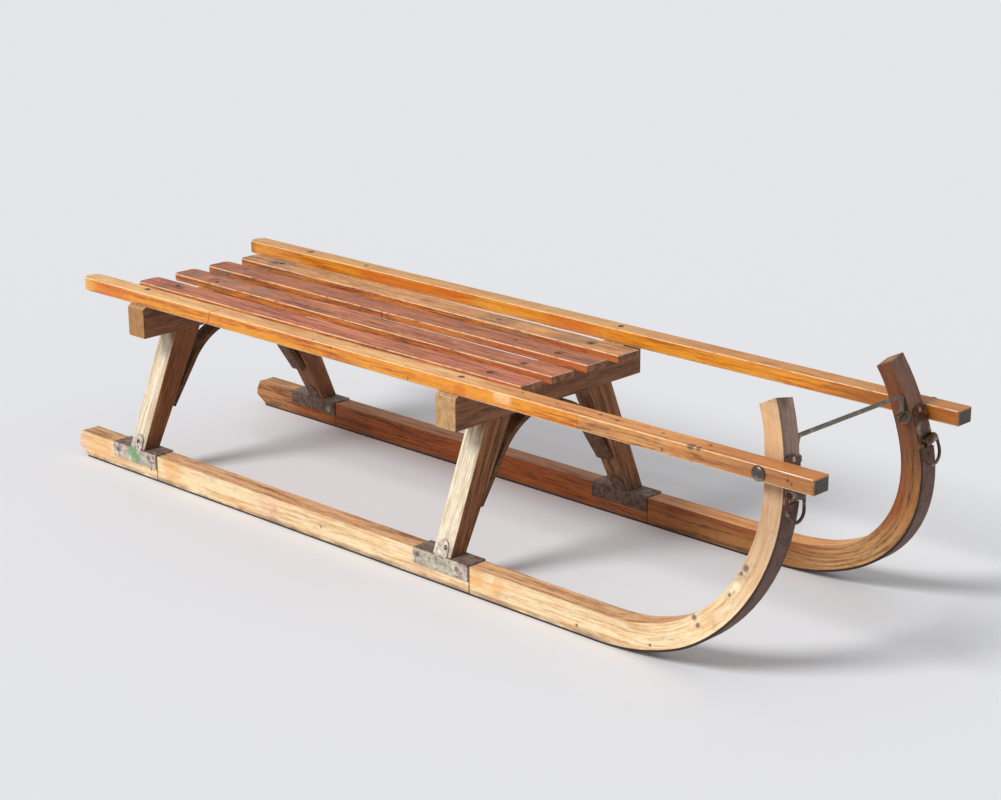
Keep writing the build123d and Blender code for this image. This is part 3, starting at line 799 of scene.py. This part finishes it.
def shoe_finish():
    c = colours()
    f = Finish("shoe iron")
    mottled = f.cloud(60, 60, 60, 4.0, 0.66)
    pits = f.cloud(500, 500, 500, 2.0, 0.6)
    colour = f.mix(mottled.rise(0.4, 0.65), (112, 76, 60), (78, 56, 48))
    colour.lay(pits.rise(0.52, 0.72) * 0.45, (58, 42, 38))
    rubbed = f.nz.rise(-0.7, -0.95) * f.z.rise(0.01, 0.002)
    colour.lay(rubbed * 0.6, c.iron_bright)
    side = abs(f.ny).rise(0.6, 0.9)
    colour.lay(side * 0.85, (40, 32, 30))
    rough = 0.46 + pits * 0.2
    return f.finished(colour, rough, pits * 0.5 + mottled * 0.4, 0.2 * MM, metal=0.3)


def saddle_finish():
    c = colours()
    f = Finish("saddle steel")
    cloud = f.cloud(55, 55, 75, 5.0, 0.68)
    spots = f.cloud(170, 170, 170, 4.0, 0.7)
    pits = f.cloud(520, 520, 520, 2.0, 0.6)
    colour = f.mix(cloud.rise(0.42, 0.62), c.saddle, (160, 140, 140))
    colour.lay(spots.rise(0.5, 0.62) * 0.6, (138, 112, 100))
    colour.lay(spots.rise(0.58, 0.68) * 0.75, (84, 66, 62))
    chalk = f.noise((f.x * 110 + 5, f.y * 110, f.z * 110), 4.0, 0.7)
    colour.lay(chalk.rise(0.54, 0.64) * 0.8, (236, 232, 220))
    traces = f.spots(((80, -181.6, 29, 15), (108, -181.6, 25, 14), (-484, -181.6, 25, 10)))
    colour.lay(traces * chalk.rise(0.4, 0.6) * 0.7, (176, 188, 150))
    green = f.spots(((-508, -181.6, 31, 12), (-500, -181.6, 26, 9), (-480, 142, 27, 8), (-470, 151, 26, 5)))
    colour.lay(green * cloud.rise(0.3, 0.55), c.saddle_paint)
    inside = f.maths("SIGN", f.y) * f.ny
    aged = (inside.rise(0.3, -0.3)).most(f.nz.rise(0.5, 0.9) * f.z.rise(0.044, 0.036))
    rusty = f.mix(spots.rise(0.42, 0.6), (104, 72, 52), (62, 42, 34))
    colour.lay(aged * (1 - green * 0.6) * 0.95, rusty)
    colour.lay(pits.rise(0.56, 0.72) * 0.5, (60, 48, 44))
    rivets = ((60, 31), (127, 29), (-541, 29), (-473, 32))
    holes = f.spots([(x, sign * 181.6, z, 4.2) for _, sign in SIDES for x, z in rivets])
    colour.lay(holes * 0.6, (60, 46, 44))
    rough = 0.45 + spots * 0.3
    return f.finished(colour, rough, pits * 0.6 + spots * 0.6 - holes * 0.6, 0.25 * MM, metal=0.22)


def touch(node, start, toward):
    """Where a line from a point in millimetres first meets a CAD node, and the way that face looks."""
    bm = bmesh.new()
    bm.from_mesh(nodes[node].data)
    place, looks, _, _ = BVHTree.FromBMesh(bm).ray_cast(Vector(start) * MM, Vector(toward))
    bm.free()
    if place is None:
        raise ValueError(f"nothing of {node} lies along the line from {start}")
    return place, looks


def screw_head(bm, place, looks, radius, turn):
    """A slotted screw head, a little sunk: place is its middle, looks the way the surface looks."""
    dome = 0.6 * MM
    sink = 0.3 * MM
    crown = radius * 0.34
    half_slot = radius * 0.14
    rim = bmesh.ops.create_circle(bm, cap_ends=True, cap_tris=False, segments=20, radius=radius)["verts"]
    disc = [face for face in bm.faces if face.verts[0] in rim][-1]
    bmesh.ops.inset_region(bm, faces=[disc], thickness=crown, depth=dome, use_even_offset=True)
    middle = max(bm.faces, key=lambda face: len(face.verts))
    for side in (-1, 1):
        region = [middle] + list(middle.edges) + list(middle.verts)
        bmesh.ops.bisect_plane(
            bm, geom=region, dist=1e-7, plane_co=(0, side * half_slot, 0), plane_no=(0, side, 0)
        )
        middle = min(
            (face for face in bm.faces if all(vert.co.z > dome * 0.5 for vert in face.verts)),
            key=lambda face: abs(face.calc_center_median().y) + (0 if len(face.verts) > 3 else 1),
        )
    slot = bmesh.ops.extrude_discrete_faces(bm, faces=[middle])["faces"]
    bmesh.ops.translate(bm, verts=slot[0].verts, vec=(0, 0, -dome * 1.1))
    upright = Vector(looks).to_track_quat("Z", "Y").to_matrix().to_4x4()
    sunk = Vector(place) - Vector(looks).normalized() * sink
    put = Matrix.Translation(sunk) @ upright @ Matrix.Rotation(turn, 4, "Z")
    bmesh.ops.transform(bm, matrix=put, verts=bm.verts)


class SledOperator:
    """What the operators share. Each builds its own pieces."""

    bl_options = {"REGISTER", "UNDO"}

    def execute(self, context):
        self.build()
        return {"FINISHED"}


class SLED_OT_runners(SledOperator, bpy.types.Operator):
    """Bent runners with rounded edges"""

    bl_idname = "sled.runners"
    bl_label = "Runners"

    def build(self):
        material = runner_finish()
        for side, _ in SIDES:
            eased_copy(
                f"runner_{side}", sizes().runner_ease, material,
                segments=3, tip=RUNNER_TIP_Z, tip_round=sizes().tip_round,
            )


class SLED_OT_legs(SledOperator, bpy.types.Operator):
    """Four splayed legs"""

    bl_idname = "sled.legs"
    bl_label = "Legs"

    def build(self):
        material = leg_finish()
        for end in ("front", "rear"):
            for side, _ in SIDES:
                eased_copy(f"leg_{end}_{side}", sizes().leg_ease, material)


class SLED_OT_beams(SledOperator, bpy.types.Operator):
    """Two cross beams and the bows below them"""

    bl_idname = "sled.beams"
    bl_label = "Beams and Bows"

    def build(self):
        beam_material = beam_finish()
        bow_material = bow_finish()
        for end in ("front", "rear"):
            eased_copy(f"beam_{end}", sizes().beam_ease, beam_material)
            eased_copy(f"bow_{end}", sizes().bow_ease, bow_material, sharpest=40)


class SLED_OT_seat(SledOperator, bpy.types.Operator):
    """Varnished side rails and faded slats"""

    bl_idname = "sled.seat"
    bl_label = "Rails and Slats"

    def build(self):
        material = rail_finish()
        for side, _ in SIDES:
            node = f"rail_{side}"
            low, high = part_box(node)
            bm = merged_copy(node)
            round_front_end(bm, low, high, sizes().rail_round)
            piece = make_piece(f"{node}_rounded", bm, material, weighted=True)
            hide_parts(node)
        dress([f"slat_{number}" for number in range(1, 5)], slat_finish())


class SLED_OT_ironwork(SledOperator, bpy.types.Operator):
    """Shoes, saddles, tow straps, tow rings and the cross rod"""

    bl_idname = "sled.ironwork"
    bl_label = "Ironwork"

    def build(self):
        c = colours()
        dress([f"runner_shoe_{side}" for side, _ in SIDES], shoe_finish())
        dress([f"saddle_{end}_{side}" for end in ("front", "rear") for side, _ in SIDES], saddle_finish())
        strap_iron = iron_finish("strap iron", c.iron, c.iron_bright, 0.2)
        dress([f"tow_strap_{side}" for side, _ in SIDES], strap_iron)
        material = iron_finish("ring iron", c.iron, c.iron_bright, 0.15, 0.8)
        for side, _ in SIDES:
            node = f"tow_ring_{side}"
            bm = bmesh.new()
            bm.from_mesh(nodes[node].data)
            bmesh.ops.remove_doubles(bm, verts=bm.verts, dist=0.01 * MM)
            bmesh.ops.join_triangles(bm, faces=bm.faces, angle_face_threshold=0.7, angle_shape_threshold=1.2)
            piece = make_piece(f"{node}_smooth", bm, material, f"{side}_ring", smooth=80)
            rounder = piece.modifiers.new("round wire", "SUBSURF")
            rounder.levels = 1
            rounder.render_levels = 1
            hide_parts(node)
        dress(["cross_rod"], iron_finish("rod iron", c.rod, c.iron_bright, 0.15, 0.5))
        dress([f"rail_nut_{side}" for side, _ in SIDES], iron_finish("nut iron", c.iron, c.iron_bright, 0.5))


class SLED_OT_bolts(SledOperator, bpy.types.Operator):
    """Rail bolts with domed heads"""

    bl_idname = "sled.bolts"
    bl_label = "Rail Bolts"

    def build(self):
        c = colours()
        material = iron_finish("bolt steel", (96, 84, 76), c.iron_bright, 0.2, 0.8)
        for side, sign in SIDES:
            node = f"rail_bolt_{side}"
            low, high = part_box(node)
            middle = (low + high) / 2
            outer_y = sign * max(abs(low.y), abs(high.y))
            inner_y = sign * min(abs(low.y), abs(high.y))
            head = 4.0 * MM
            shank = 3.0 * MM
            chamfer = 0.6 * MM
            dome = head * 0.82
            dome_steps = 6
            radius = sizes().bolt_head_radius
            # half of the bolt's outline, each point (from the middle line, from the top of the head)
            profile = [(0, 0)]
            for step in range(1, dome_steps + 1):
                turn = math.pi / 2 * step / dome_steps
                profile.append((radius * math.sin(turn), dome * (1 - math.cos(turn))))
            long = abs(outer_y - inner_y)
            profile += [(radius, head), (shank, head)]
            profile += [(shank, long - chamfer), (shank - chamfer, long), (0, long)]
            bm = bmesh.new()
            verts = [bm.verts.new((across, 0, -along)) for across, along in profile]
            edges = [bm.edges.new(pair) for pair in zip(verts, verts[1:])]
            spun = {"cent": (0, 0, 0), "axis": (0, 0, 1), "angle": math.tau, "steps": 28}
            bmesh.ops.spin(bm, geom=verts + edges, use_merge=True, **spun)
            bmesh.ops.remove_doubles(bm, verts=bm.verts, dist=0.005 * MM)
            looks = Vector((0, sign, 0)).to_track_quat("Z", "X").to_matrix().to_4x4()
            put = Matrix.Translation((middle.x, outer_y, middle.z)) @ looks
            bmesh.ops.transform(bm, matrix=put, verts=bm.verts)
            piece = make_piece(f"{node}_domed", bm, material, smooth=50)
            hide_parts(node)


class SLED_OT_screws(SledOperator, bpy.types.Operator):
    """Screws in the seat, the saddles, the shoes, the straps and the bows"""

    bl_idname = "sled.screws"
    bl_label = "Screws"

    def add_screw(self, name, node, start, toward, radius, turn, material):
        """A screw where a line from a point in millimetres meets a CAD node."""
        place, looks = touch(node, start, toward)
        bm = bmesh.new()
        screw_head(bm, place, looks, radius, math.radians(turn))
        make_piece(name, bm, material, smooth=30)

    def build(self):
        c = colours()
        dark = iron_finish("screw steel", (70, 56, 50), c.iron_bright, 0.4, 0.6)
        bright = iron_finish("bright screw steel", (200, 184, 166), (236, 228, 216), 0.0, 0.8)
        large = sizes().screw_radius
        small = sizes().small_screw_radius
        # for each end of the seat: CAD node, place in millimetres, turn of the slot in degrees
        seat_screws = {
            "front": (
                ("rail_right", 106, -149, 20), ("slat_1", 96, -91, 75), ("slat_2", 99, -35, 130),
                ("slat_3", 100, 27, 40), ("slat_4", 102, 88, 160), ("rail_left", 98, 151, 95),
            ),
            "rear": (
                ("rail_right", -502, -146, 110), ("slat_1", -514, -84, 15), ("slat_2", -490, -34, 60),
                ("slat_3", -508, 40, 145), ("slat_4", -505, 100, 80), ("rail_left", -500, 151, 35),
            ),
        }
        above = 300
        for end, screws in seat_screws.items():
            for node, x, y, turn in screws:
                name = f"seat_screw_{end}_{node}"
                material = bright if name == "seat_screw_rear_slat_3" else dark
                self.add_screw(name, node, (x, y, above), (0, 0, -1), large, turn, material)
        # name, CAD node, start and direction of the line to its place on the left,
        # turns of the slot on the right and on the left, material
        paired_screws = (
            ("saddle_screw_front", "saddle_front_{side}", (104, 220, 50), (0, -1, 0), (30, 75), dark),
            ("saddle_screw_rear", "saddle_rear_{side}", (-499.5, 220, 49), (0, -1, 0), (120, 10), dark),
            ("shoe_screw", "runner_shoe_{side}", (700, 131, 204), (-1, 0, 0), (40, 65), dark),
            ("strap_screw", "tow_strap_{side}", (700, 119, 258), (-1, 0, 0), (15, 80), bright),
            ("bow_screw_front", "bow_front", (99, 0, 98), (0, 1, 0), (15, 55), dark),
            ("bow_screw_rear", "bow_rear", (-500, 0, 98), (0, 1, 0), (25, 95), dark),
        )
        for name, node, start, toward, turns, material in paired_screws:
            for (side, sign), turn in zip(SIDES, turns):
                mirror = Vector((1, sign, 1))
                line = (Vector(start) * mirror, Vector(toward) * mirror)
                self.add_screw(f"{name}_{side}", node.format(side=side), *line, small, turn, material)


class SLED_OT_stage(SledOperator, bpy.types.Operator):
    """Pale floor, soft light and the camera"""

    bl_idname = "sled.stage"
    bl_label = "Stage"

    def build(self):
        scene = bpy.context.scene
        stage = scene.sled_stage
        f = Finish("pale floor")
        floor_material = f.finished(stage.floor, 1.0, gloss=0.0)
        bm = bmesh.new()
        half_floor = 14
        bmesh.ops.create_grid(bm, x_segments=2, y_segments=2, size=half_floor)
        mesh = bpy.data.meshes.new("floor")
        bm.to_mesh(mesh)
        bm.free()
        mesh.materials.append(floor_material)
        floor = bpy.data.objects.new("floor", mesh)
        scene.collection.objects.link(floor)

        aim = Vector((0.05, 0, 0.14))
        key = bpy.data.lights.new("key_light", "SUN")
        key.energy = stage.key
        key.angle = stage.key_softness
        lamp = bpy.data.objects.new("key_light", key)
        lamp.location = (-0.9, -2.7, 2.5)
        lamp.rotation_euler = (aim - lamp.location).to_track_quat("-Z", "Y").to_euler()
        scene.collection.objects.link(lamp)

        world = bpy.data.worlds.new("room")
        scene.world = world
        world.use_nodes = True
        background = world.node_tree.nodes["Background"]
        cool_white = (0.96, 0.98, 1.0, 1)
        background.inputs["Color"].default_value = cool_white
        background.inputs["Strength"].default_value = stage.sky
        scene.view_settings.view_transform = "Standard"

        camera = bpy.data.cameras.new("photo_camera")
        camera.sensor_fit = "HORIZONTAL"
        camera.sensor_width = 36
        camera.lens = stage.focal_length
        camera.clip_start = 0.05
        camera.clip_end = 60
        holder = bpy.data.objects.new("photo_camera", camera)
        right = Vector((0.72305, 0.69079, -0.00422))
        up = Vector((-0.20341, 0.21873, 0.95435))
        back = Vector((0.66018, -0.68918, 0.29866))
        eye = (1.9170, -1.9725, 1.0353)
        turn = Matrix((right, up, back)).transposed().to_4x4()
        holder.matrix_world = Matrix.Translation(eye) @ turn
        scene.collection.objects.link(holder)
        scene.camera = holder


class SLED_PT_panel(bpy.types.Panel):
    """Lists the sled's sizes, colours and pieces."""

    bl_idname = "SLED_PT_panel"
    bl_label = "Wooden Sled"
    bl_space_type = "VIEW_3D"
    bl_region_type = "UI"
    bl_category = "Sled"

    def draw(self, context):
        layout = self.layout
        for group_name in GROUPS:
            group = getattr(context.scene, group_name)
            box = layout.box()
            for name in group.bl_rna.properties.keys():
                if name not in ("rna_type", "name"):
                    box.prop(group, name)
        column = layout.column(align=True)
        for operator in OPERATORS:
            column.operator(operator.bl_idname)


OPERATORS = (
    SLED_OT_runners,
    SLED_OT_legs,
    SLED_OT_beams,
    SLED_OT_seat,
    SLED_OT_ironwork,
    SLED_OT_bolts,
    SLED_OT_screws,
    SLED_OT_stage,
)

GROUPS = {"sled_sizes": SledSizes, "sled_colours": SledColours, "sled_stage": SledStage}

CLASSES = (*GROUPS.values(), *OPERATORS, SLED_PT_panel)


def register():
    for piece in CLASSES:
        bpy.utils.register_class(piece)
    for name, group in GROUPS.items():
        setattr(bpy.types.Scene, name, PointerProperty(type=group))


def unregister():
    for name in GROUPS:
        delattr(bpy.types.Scene, name)
    for piece in reversed(CLASSES):
        bpy.utils.unregister_class(piece)


def main():
    register()
    bpy.ops.sled.runners()
    bpy.ops.sled.legs()
    bpy.ops.sled.beams()
    bpy.ops.sled.seat()
    bpy.ops.sled.ironwork()
    bpy.ops.sled.bolts()
    bpy.ops.sled.screws()
    bpy.ops.sled.stage()
    bpy.context.view_layer.update()


if __name__ == "__main__":
    main()
